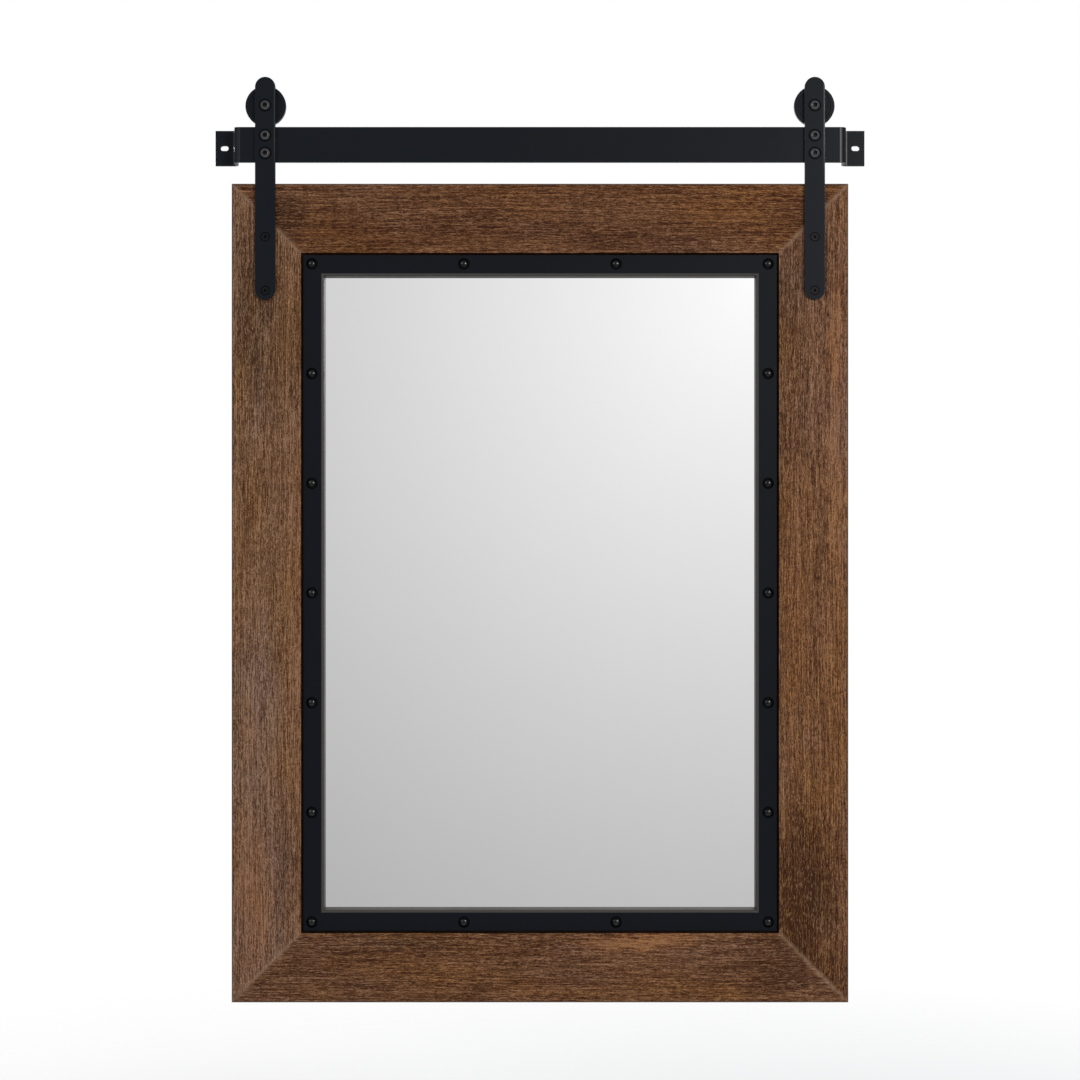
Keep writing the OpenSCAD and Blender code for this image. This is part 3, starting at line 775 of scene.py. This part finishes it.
# Four zinc-plated mending plates lie flat across the corners of the rebate on the back of the
# frame and help to keep the glass in. They are stamped, so a burnished rim runs round them.
WOOD_BACK_Y = -0.003
BOARD_HALF = (0.223, 0.323)
PLATE = {"length": 0.048, "width": 0.012, "thick": 0.0012, "in_from_corner": 0.002}
PLATE_HOLE_X = (PLATE["length"] - PLATE["width"]) / 2
PLATES = (
    ("top_left", -1, 1, -46),
    ("top_right", 1, 1, 44),
    ("bottom_left", -1, -1, 48),
    ("bottom_right", 1, -1, -40),
)
RIM_WIDTH = 0.0011
PRESSED_IN = 0.00015
SCREW_HOLE_RADIUS = 0.0018


def zinc_finish(name, dull, bright, rough):
    """Zinc plating, clouded, duller on the lower pieces; edge_wear marks the burnished rim."""
    material, tree, shader = new_material(name, Metallic=1.0)
    where = surface_place(tree)
    clouds = noise(tree, where, (170, 170, 170), 3.0, 0.6)
    spangle = put(tree, "ShaderNodeTexVoronoi", {"Vector": where, "Scale": 520.0})
    flake = put(tree, "ShaderNodeSeparateColor", {0: spangle.outputs["Color"]}).outputs[0]
    share = maths(tree, "MULTIPLY_ADD", flake, 0.45, times(tree, clouds, 0.55))
    batch = remap(tree, noise(tree, where, (4, 4, 4), 1.0), 0.2, 0.8, -0.30, 0.02)
    parts = axes(tree, where)
    lower = maths(tree, "MULTIPLY_ADD", parts["X"], 0.5, parts["Z"])
    batch = maths(tree, "ADD", batch, remap(tree, lower, -0.58, -0.69, 0.0, -0.48))
    share = maths(tree, "ADD", share, batch, clamp=True)
    colour = blend(tree, share, dull, bright)
    feeds = {
        "Base Color": painted(tree, colour, edge_wear(tree), 0.6, (0.56, 0.60, 0.63, 1)),
        "Roughness": remap(tree, share, 0, 1, rough + 0.08, rough - 0.06),
        "Normal": bump(tree, noise(tree, where, (2600, 2600, 240), 1.0), 0.2, 0.00005),
    }
    feed(tree, shader, feeds)
    return material


def facing_back(x, y, z, turn=0.0):
    """Lays a piece with its upper side towards the wall, then turns it about Y."""
    return facing_front(x, y, z, turn, -90)


def only(kind, geometry):
    """The parts of one kind in what an operator returns."""
    return [part for part in geometry if isinstance(part, kind)]


def stamped(shape, holes, thick):
    """Stamps a plate from its outline at Z = thick: a rim, a pressed face, holes, soft edges."""
    wear = shape.faces.layers.float.new("edge_wear")
    outline = bmesh.ops.contextual_create(shape, geom=shape.edges[:])["faces"]
    if outline[0].normal.z < 0:
        bmesh.ops.reverse_faces(shape, faces=outline)
    rim = bmesh.ops.inset_region(
        shape, faces=outline, thickness=RIM_WIDTH, use_even_offset=True, use_boundary=True
    )["faces"]
    slope = bmesh.ops.inset_region(
        shape, faces=outline, thickness=0.0003, depth=-PRESSED_IN, use_even_offset=True,
        use_boundary=True,
    )["faces"]
    for face in rim + slope:
        face[wear] = 1.0
    loops = list(outline[0].edges)
    bmesh.ops.delete(shape, geom=outline, context="FACES_ONLY")
    for x in holes:
        ring = bmesh.ops.create_circle(
            shape, cap_ends=False, radius=SCREW_HOLE_RADIUS, segments=24,
            matrix=Matrix.Translation((x, 0, thick - PRESSED_IN)),
        )["verts"]
        loops += [e for e in shape.edges if e.verts[0] in ring and e.verts[1] in ring]
    bmesh.ops.triangle_fill(shape, use_beauty=True, edges=loops, normal=(0, 0, 1))
    below = bmesh.ops.extrude_face_region(shape, geom=shape.faces[:], use_keep_orig=True)["geom"]
    for corner in only(BMVert, below):
        corner.co.z = 0.0
    for face in only(BMFace, below):
        face[wear] = 0.0
    bmesh.ops.recalc_face_normals(shape, faces=shape.faces)
    soften(shape, wear, 60, 0.0002, 2)
    return shape


def plate_blank():
    """A disc pulled apart into a bar with full round ends."""
    shape = bmesh.new()
    bmesh.ops.create_circle(
        shape, cap_ends=False, radius=PLATE["width"] / 2, segments=48,
        matrix=Matrix.Translation((0, 0, PLATE["thick"])) @ Matrix.Rotation(tau / 96, 4, "Z"),
    )
    for end in (-1, 1):
        half = [v for v in shape.verts if v.co.x * end > 0]
        bmesh.ops.translate(shape, verts=half, vec=(end * PLATE_HOLE_X, 0, 0))
    return shape


def plate_centre(sx, sz):
    """Middle of a mending plate, in X and Z."""
    step = PLATE["in_from_corner"] / sqrt(2)
    return sx * (BOARD_HALF[0] - step), FRAME_MID_Z + sz * (BOARD_HALF[1] - step)


zinc_plating = zinc_finish(
    "zinc_plate_finish", (0.058, 0.080, 0.105, 1), (0.235, 0.290, 0.335, 1), 0.36
)
for corner, sx, sz, slope in PLATES:
    x, z = plate_centre(sx, sz)
    plate = stamped(plate_blank(), (-PLATE_HOLE_X, PLATE_HOLE_X), PLATE["thick"])
    spot = [facing_back(x, WOOD_BACK_Y, z, slope)]
    name = "mending_plate_" + corner
    set_out(name, "corner_plate_" + corner, zinc_plating, plate, spot)

# Eighteen turn buttons of thin zinc-plated steel, each on one screw, that swing in over the
# board to hold it. Some stand turned away, as they were left when the mirror was fitted.
BUTTON = {"length": 0.024, "width": 0.013, "thick": 0.001, "lift": 0.00015, "out": 0.008}
BUTTON_SCREW_SEAT = 0.0013
# Each side, the turn that faces in, and each button's place along it in mm and its own turn.
BUTTON_SIDES = (
    ("right", 0, ((232, 0), (116, -3), (-6, -65), (-128, 0), (-243, 0))),
    ("top", -90, ((-149, 0), (-62, 0), (35, 0), (132, 0))),
    ("left", 180, ((228, 34), (112, 90), (-14, 90), (-125, 90), (-244, 90))),
    ("bottom", 90, ((-148, 3), (-60, 3), (34, 7), (134, 0))),
)


def button_blank():
    """A disc whose left half is pulled out into a square end."""
    shape = bmesh.new()
    bmesh.ops.create_circle(
        shape, cap_ends=False, radius=BUTTON["width"] / 2, segments=48,
        matrix=Matrix.Translation((0, 0, BUTTON["thick"])),
    )
    for corner in [v for v in shape.verts if v.co.x < -1e-6]:
        bmesh.ops.dissolve_verts(shape, verts=[corner])
    ends = [v for v in shape.verts if abs(v.co.x) < 1e-6]
    joined = [e for e in shape.edges if e.verts[0] in ends and e.verts[1] in ends]
    middle = bmesh.ops.subdivide_edges(shape, edges=joined, cuts=2)["geom_inner"]
    corners = sorted(only(BMVert, middle), key=lambda v: v.co.y)
    for corner, side in zip(corners, (-1, 1)):
        corner.co.x = BUTTON["width"] / 2 - BUTTON["length"]
        corner.co.y = side * BUTTON["width"] / 2
    return shape


button_spots = []
for side, turn, places in BUTTON_SIDES:
    for number, (along, angle) in enumerate(places, 1):
        half = BOARD_HALF[abs(turn) == 90] + BUTTON["out"]
        if abs(turn) == 90:
            x, z = along / 1000, (half if turn == -90 else -half)
        else:
            x, z = (half if turn == 0 else -half), along / 1000
        z += FRAME_MID_Z
        cross_turn = along % 90
        button_spots.append((x, z, cross_turn))
        button = stamped(button_blank(), (0.0,), BUTTON["thick"])
        spot = [facing_back(x, WOOD_BACK_Y + BUTTON["lift"], z, turn + angle)]
        name, node = f"turn_clip_{side}_{number}", f"turn_button_{side}_{number}"
        set_out(name, node, zinc_plating, button, spot, node)

# The small pan-head screws of the plates and buttons: rolled thread, low domed head with a
# cross recess, zinc plated.


def thread(outer, inner, pitch, start, end):
    """Radius and height of turned thread ridges between two heights."""
    count = int((end - start) / pitch)
    ridges = []
    for i in range(count):
        foot = start + i * pitch
        ridges += [(inner, foot), (outer, foot + pitch * 0.4), (outer, foot + pitch * 0.6)]
    return ridges + [(inner, start + count * pitch)]


def cross_outline(length, width):
    """The twelve corners of a cross recess."""
    arm, half = length / 2, width / 2
    corners = []
    for quarter in range(4):
        turn = Matrix.Rotation(quarter * tau / 4, 2)
        corners += [turn @ Vector(p) for p in ((arm, -half), (arm, half), (half, half))]
    return corners


def hex_outline(across_flats):
    """The six corners of a hexagon socket."""
    radius = across_flats / 2 / cos(radians(30))
    return [
        Vector((radius * cos(a), radius * sin(a)))
        for a in (radians(30 + 60 * i) for i in range(6))
    ]


def recessed(profile, outline, deep, taper, bare_above):
    """A turned fastener, head up, with a recess in its top. edge_wear marks the bare upper side."""
    shape = lathe(profile, 40)
    wear = shape.faces.layers.float.new("edge_wear")
    top = profile[-1][1]
    rim = [e for e in shape.edges if e.is_boundary]
    mouth = [shape.verts.new((p.x * 1.08, p.y * 1.08, top)) for p in outline]
    loop = [shape.edges.new((mouth[i - 1], mouth[i])) for i in range(len(mouth))]
    bmesh.ops.triangle_fill(shape, use_beauty=True, edges=rim + loop, normal=(0, 0, 1))
    for face in (f for f in shape.faces if f.calc_center_median().z > bare_above):
        face[wear] = 1.0
    for drop, size in ((0.00015, 1 / 1.08), (deep, taper)):
        grown = bmesh.ops.extrude_edge_only(shape, edges=loop)["geom"]
        loop, corners = only(BMEdge, grown), only(BMVert, grown)
        for face in only(BMFace, grown):
            face[wear] = 0.0
        bmesh.ops.scale(shape, verts=corners, vec=(size, size, 1))
        bmesh.ops.translate(shape, verts=corners, vec=(0, 0, -drop))
    ground = bmesh.ops.edgeloop_fill(shape, edges=loop)["faces"]
    ground[0][wear] = 0.0
    bmesh.ops.poke(shape, faces=ground, offset=-0.0002)
    bmesh.ops.recalc_face_normals(shape, faces=shape.faces)
    return shape


zinc_screws = zinc_finish("zinc_screw_finish", (0.15, 0.18, 0.21, 1), (0.36, 0.41, 0.45, 1), 0.30)
PAN_PROFILE = (
    [(0.0, -0.0120)]
    + thread(0.00175, 0.0012, 0.0013, -0.0105, -0.0010)
    + [(0.00175, -0.0006), (0.00175, 0.0), (0.0031, 0.0), (0.00325, 0.0002)]
    + [(0.0032, 0.0005), (0.0030, 0.00085), (0.0026, 0.00118), (0.0022, 0.00138), (0.0019, 0.00145)]
)


def pan_screws(name, node, spots, y):
    """One object with a screw at each X, Z and turn of its recess."""
    screw = recessed(PAN_PROFILE, cross_outline(0.0034, 0.0008), 0.0007, 0.6, 0.0001)
    places = [facing_back(x, y, z, turn) for x, z, turn in spots]
    set_out(name, node, zinc_screws, screw, places)


plate_spots = []
for _, sx, sz, slope in PLATES:
    x, z = plate_centre(sx, sz)
    for end in (-1, 1):
        reach = end * PLATE_HOLE_X
        dx, dz = cos(radians(slope)), -sin(radians(slope))
        plate_spots.append((x + reach * dx, z + reach * dz, slope + 20 * end))
pan_screws("plate_screws", "corner_plate_screws", plate_spots, WOOD_BACK_Y + PLATE["thick"])
pan_screws("clip_screws", "turn_button_screws", button_spots, WOOD_BACK_Y + BUTTON_SCREW_SEAT)

# The track bar: one flat steel bar, bent twice at each end into a slotted tab, powder coated and
# screwed to the wall. A painted highlight lies where the bends begin, brighter towards the right.
HANGER_COAT = ((0.0062, 0.0076, 0.0108, 1), 0.9, 0.085)
BENDS_X = (0.2974, 0.3060)
bar_coat, tree, shader, coated = powder_coated("bar_powder_coat", *HANGER_COAT)
parts = axes(tree, surface_place(tree))
out = maths(tree, "ABSOLUTE", parts["X"])
painted_highlight = 0.0
# Painted highlight along the bends, brighter towards the right.
for middle in BENDS_X:
    mark = remap(tree, apart(tree, out, middle), 0.0011, 0.0001, smooth=True)
    painted_highlight = maths(tree, "MAXIMUM", mark, painted_highlight)
painted_highlight = times(tree, painted_highlight, remap(tree, parts["X"], -0.29, 0.29, 0.12, 0.80))
worn_and_highlit = blend(tree, painted_highlight, coated, (0.165, 0.160, 0.155, 1))
feed(tree, shader, {"Base Color": worn_and_highlit})
rounded_copy("wall_bar", "track_bar", bar_coat, 0.0004)

# Two hanger straps of flat bar with full round ends, coated alike, bolted through the track bar
# and screwed to the face of the stiles. Above the wood their right edges carry a painted
# highlight, brighter on the right strap, and rings of painted shade lie round the heads.
STRAP_X = 0.2715
AXLE_Z = 0.0385
BOLTS_Z = (-0.00875, 0.00875)
WOOD_TOP_Z = -0.0385
SCREWS_DOWN = (0.053, 0.106)
HIGHLIGHT_FROM_MIDDLE = 0.0092
strap_coat, tree, shader, coated = powder_coated("strap_powder_coat", *HANGER_COAT)
parts = axes(tree, surface_place(tree))
middle = times(tree, maths(tree, "SIGN", parts["X"]), STRAP_X)
# Painted highlight along each strap's right edge above the wood, brighter on the right strap.
away = apart(tree, minus(tree, parts["X"], middle), HIGHLIGHT_FROM_MIDDLE)
painted_highlight = remap(tree, away, 0.0008, 0.0001, smooth=True)
painted_highlight = times(tree, painted_highlight, remap(tree, parts["Z"], -0.035, 0.0))
painted_highlight = times(tree, painted_highlight, remap(tree, parts["X"], -0.27, 0.27, 0.30, 0.90))
worn_and_highlit = blend(tree, painted_highlight, coated, (0.100, 0.098, 0.096, 1))
out = maths(tree, "ABSOLUTE", parts["X"])
half = put(tree, "ShaderNodeCombineXYZ", {"X": out, "Z": parts["Z"]}).outputs[0]
heads = [(STRAP_X, z, 0.0052) for z in (AXLE_Z, *BOLTS_Z)]
heads += [(STRAP_X, WOOD_TOP_Z - down, 0.0036) for down in SCREWS_DOWN]
# Rings of painted shade round the bolt and screw heads.
painted_shade_rings(tree, shader, worn_and_highlit, half, heads)
for side in ("left", "right"):
    rounded_copy("strap_" + side, "hanger_strap_" + side, strap_coat, 0.0006)

# Countersunk wood screws hold each strap to its stile, two to a strap: blackened steel, with
# a flush head and a cross recess, driven into the face of the wood.
STRAP_FRONT_Y = -0.026


def blackened_steel(name, dark, light, rough):
    """Oiled black-oxide steel, slightly clouded, bare where edge_wear is set."""
    material, tree, shader = new_material(name, **{"Specular IOR Level": 0.07})
    mottle = noise(tree, surface_place(tree), (600, 600, 600), 3.0, 0.6)
    edge = edge_wear(tree)
    worn_and_highlit = times(tree, edge, remap(tree, mottle, 0, 1, 0.6, 1.0))
    feeds = {
        "Base Color": blend(tree, worn_and_highlit, dark, light),
        "Metallic": times(tree, edge, 0.7),
        "Roughness": remap(tree, mottle, 0, 1, rough - 0.06, rough + 0.08),
    }
    feed(tree, shader, feeds)
    return material


black_screw = blackened_steel(
    "black_screw", (0.004, 0.004, 0.005, 1), (0.016, 0.016, 0.017, 1), 0.40
)
wood_screw_profile = (
    [(0.0, -0.0200), (0.0006, -0.0188), (0.0012, -0.0175)]
    + thread(0.0020, 0.0014, 0.0016, -0.0170, -0.0062)
    + [(0.0020, -0.0056), (0.0020, -0.0018), (0.0037, -0.00015), (0.0036, -0.00004)]
)
set_out(
    "strap_wood_screws", "strap_screws", black_screw,
    recessed(wood_screw_profile, cross_outline(0.0036, 0.0011), 0.0014, 0.6, -0.0001),
    [
        facing_front(side * STRAP_X, STRAP_FRONT_Y, WOOD_TOP_Z - down, turn)
        for side, turns in ((-1, (12, 40)), (1, (65, 25)))
        for down, turn in zip(SCREWS_DOWN, turns)
    ],
)

# Button-head bolts of blackened steel with hexagon sockets: two clamp each strap to the track
# bar, and a longer one is each roller's axle.


def button_bolt(length):
    """An M6 button-head bolt, drawn from the underside of its head."""
    profile = [(0.0, -length), (0.0023, -length)]
    profile += thread(0.00298, 0.0026, 0.001, 0.0004 - length, -0.0032)
    profile += [(0.00298, -0.0028), (0.00298, 0.0), (0.0051, 0.0), (0.00525, 0.00015)]
    profile += [p for p in dome(0.00525, 0.0033, 12) if 0.0003 < p[1] < 0.0026]
    return recessed(profile + [(0.00252, 0.00274)], hex_outline(0.004), 0.0017, 0.97, 0.0008)


black_oxide = blackened_steel(
    "black_oxide", (0.005, 0.005, 0.006, 1), (0.100, 0.100, 0.105, 1), 0.30
)
for name, node, length, heights in (
    ("bar_bolts", "strap_bolts", 0.012, BOLTS_Z),
    ("axle_pins", "axle_bolts", 0.0164, (AXLE_Z,)),
):
    places = [
        facing_front(side * STRAP_X, STRAP_FRONT_Y, z, 17 + 900 * side * z + 11 * side)
        for side in (-1, 1)
        for z in heights
    ]
    set_out(name, node, black_oxide, button_bolt(length), places)

# Hexagon nuts behind the bar and behind the rollers: blackened steel, threaded, the corners
# of their outer faces turned off.
NUT = {"flats": 0.010, "high": 0.005, "bore": 0.00305}


def hex_nut():
    """A nut drawn from the face it is tightened against, with a threaded bore."""
    shape = bmesh.new()
    corner_radius = NUT["flats"] / 2 / cos(radians(30))
    bmesh.ops.create_circle(shape, cap_ends=False, radius=corner_radius, segments=6)
    bmesh.ops.subdivide_edges(shape, edges=shape.edges[:], cuts=7)
    foot = shape.edges[:]

    def grow(edges, place):
        """Extrudes a loop, and puts each of its corners where place says."""
        grown = bmesh.ops.extrude_edge_only(shape, edges=edges)["geom"]
        for corner in only(BMVert, grown):
            radius, height = place(corner.co.xy.length)
            corner.co.xy = corner.co.xy.normalized() * radius
            corner.co.z = height
        return only(BMEdge, grown)

    turned = NUT["flats"] / 2 * 0.96
    slope = tan(radians(30))
    loop = grow(foot, lambda r: (r, NUT["high"] - (r - turned) * slope))
    loop = grow(loop, lambda r: (turned, NUT["high"]))
    loop = grow(loop, lambda r: (NUT["bore"] + 0.0004, NUT["high"]))
    bore = thread(NUT["bore"] + 0.0003, NUT["bore"], 0.001, 0.0, NUT["high"] - 0.0004)
    for radius, height in reversed(bore[1:]):
        loop = grow(loop, lambda r, radius=radius, height=height: (radius, height))
    loop = grow(loop, lambda r: (NUT["bore"] + 0.0004, 0.0))
    bmesh.ops.bridge_loops(shape, edges=foot + loop)
    bmesh.ops.recalc_face_normals(shape, faces=shape.faces)
    return shape


for name, node, seat_y, heights in (
    ("bar_nuts", "strap_nuts", -0.020, BOLTS_Z),
    ("axle_lock_nuts", "axle_nuts", -0.0156, (AXLE_Z,)),
):
    places = [facing_back(side * STRAP_X, seat_y, z) for side in (-1, 1) for z in heights]
    set_out(name, node, black_oxide, hex_nut(), places)

# The rollers, turned from steel and powder coated: a raised hub and rim, two fine grooves in
# the face between them, and an eased tread. Each runs on a bush over its axle.
ROLLER_MID_Y = -0.0198


def turned_ring(half_profile, steps):
    """Turns a ring from the profile of one of its faces, mirrored for the other."""
    return lathe(half_profile + [(r, -h) for r, h in reversed(half_profile)], steps, ring=True)


roller_face = [(0.00505, 0.0028), (0.00525, 0.0030), (0.0083, 0.0030)]
roller_face += [(0.0085, 0.0028), (0.0088, 0.0024)]
for groove in (0.0107, 0.0133):
    roller_face += [(groove - 0.0002, 0.0024), (groove, 0.00225), (groove + 0.0002, 0.0024)]
roller_face += [(0.0157, 0.0024), (0.0160, 0.0028), (0.0162, 0.0030)]
roller_face += [(0.0194, 0.0030), (0.0200, 0.0024)]
roller_coat = powder_coated("roller_powder_coat", *HANGER_COAT)[0]
for side, sign in (("left", -1), ("right", 1)):
    node = "roller_" + side
    wheel = turned_ring(roller_face, 96)
    spot = [facing_back(sign * STRAP_X, ROLLER_MID_Y, AXLE_Z)]
    set_out("wheel_" + side, node, roller_coat, wheel, spot, node)

# A thin washer behind each roller, of blackened steel with eased edges. The axle's nut holds
# it against the end of the bush.
WASHER_MID_Y = -0.0161
washer = turned_ring([(0.0032, 0.0004), (0.0033, 0.0005), (0.0068, 0.0005), (0.0070, 0.0003)], 64)
places = [facing_back(side * STRAP_X, WASHER_MID_Y, AXLE_Z) for side in (-1, 1)]
set_out("axle_rings", "axle_washers", black_oxide, washer, places)

# The bushes that the rollers turn on: plain turned brass, hidden inside the rollers, between
# strap and washer.
brass, tree, shader = new_material("turned_brass", Metallic=1.0)
turned = noise(tree, surface_place(tree), (90, 3200, 90))
colour = blend(tree, turned, (0.62, 0.44, 0.20, 1), (0.78, 0.60, 0.32, 1))
feed(tree, shader, {"Base Color": colour, "Roughness": remap(tree, turned, 0, 1, 0.32, 0.22)})
dress("roller_bushes", brass)
